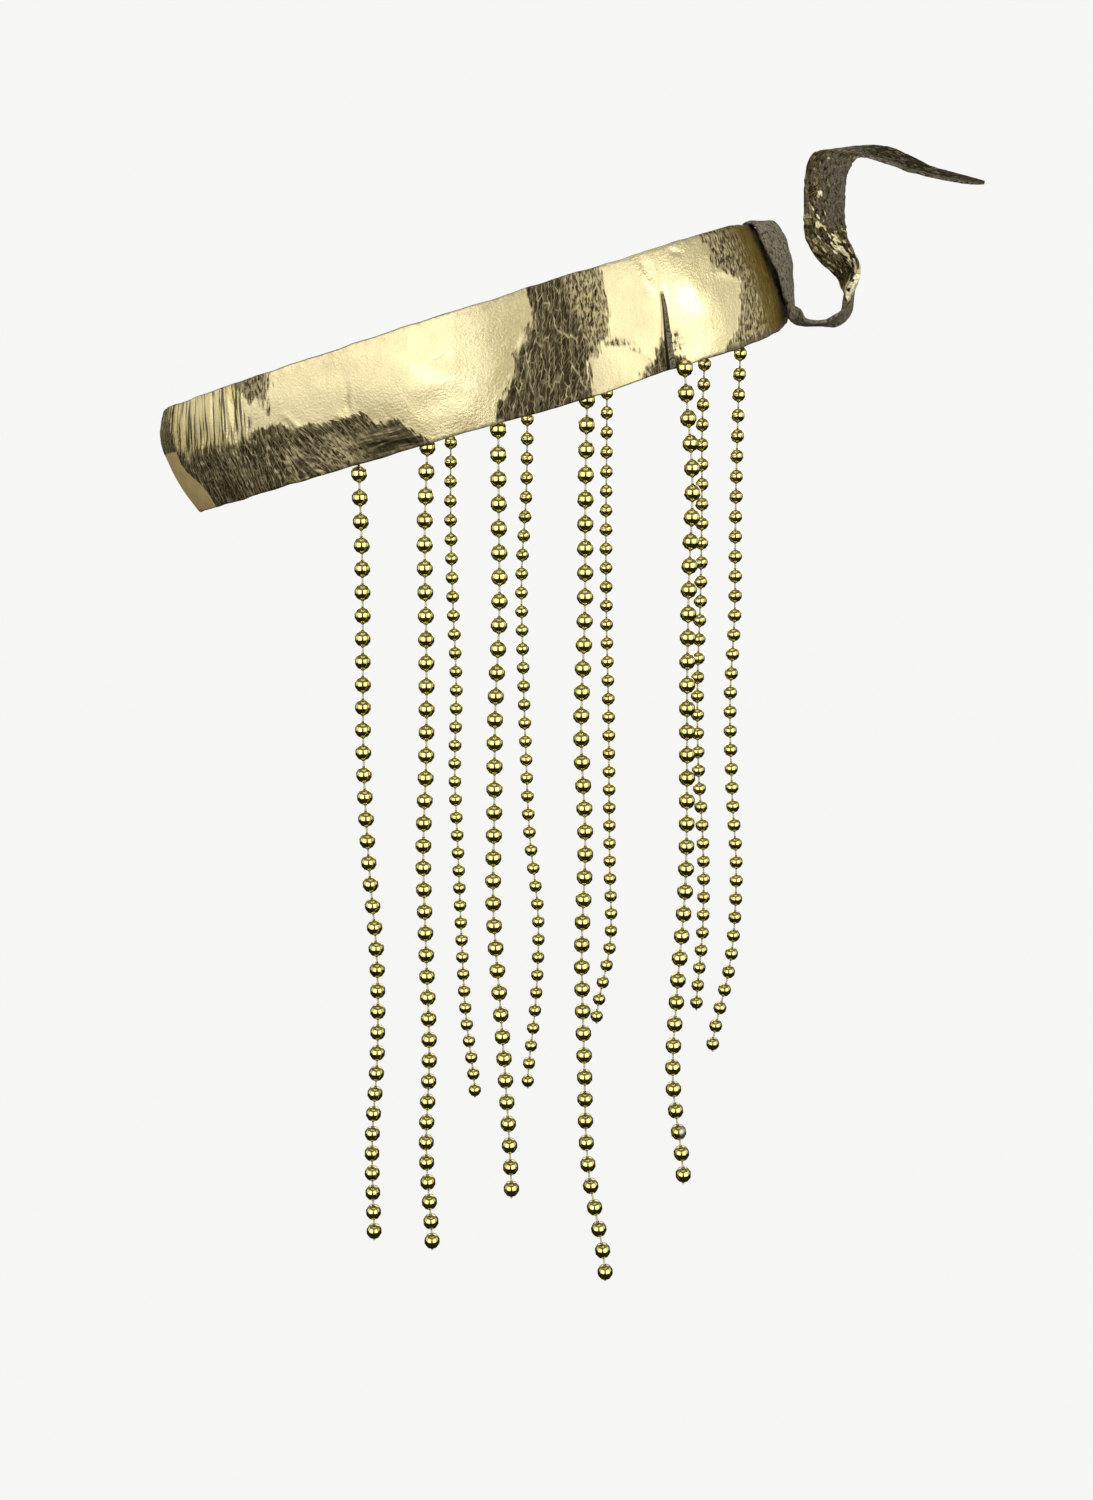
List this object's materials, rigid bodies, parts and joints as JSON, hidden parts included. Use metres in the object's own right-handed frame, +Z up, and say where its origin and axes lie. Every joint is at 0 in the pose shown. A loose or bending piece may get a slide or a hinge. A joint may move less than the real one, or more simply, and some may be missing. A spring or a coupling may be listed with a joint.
{
  "type": "egyptian tiara",
  "caption": "Ring of crinkled gold foil leather worn round the head, with gold bead strings hanging at both sides and a narrow leather tie strap behind.",
  "frame": {"origin": "middle of the head opening, half-way up the band, where the head sits", "axes": "+Z up, the wearer looks along -X, +Y is the wearer's left"},
  "size_m": [0.2835, 0.1573, 0.3817],
  "materials": {
    "foil_leather": "crinkled gold foil over leather",
    "suede": "rough grey-brown suede",
    "gold_bead": "metallised gold",
    "thread": "matt cream thread"
  },
  "bodies": {
    "root": {"band": "foil_leather", "tie_strap": "suede", "beads_near_1": "gold_bead", "beads_near_2": "gold_bead", "beads_near_3": "gold_bead", "beads_near_4": "gold_bead", "beads_near_5": "gold_bead", "beads_far_1": "gold_bead", "beads_far_2": "gold_bead", "beads_far_3": "gold_bead", "beads_far_4": "gold_bead", "beads_far_5": "gold_bead", "thread_near_1": "thread", "thread_near_2": "thread", "thread_near_3": "thread", "thread_near_4": "thread", "thread_near_5": "thread", "thread_far_4": "thread"}
  },
  "joints": []
}
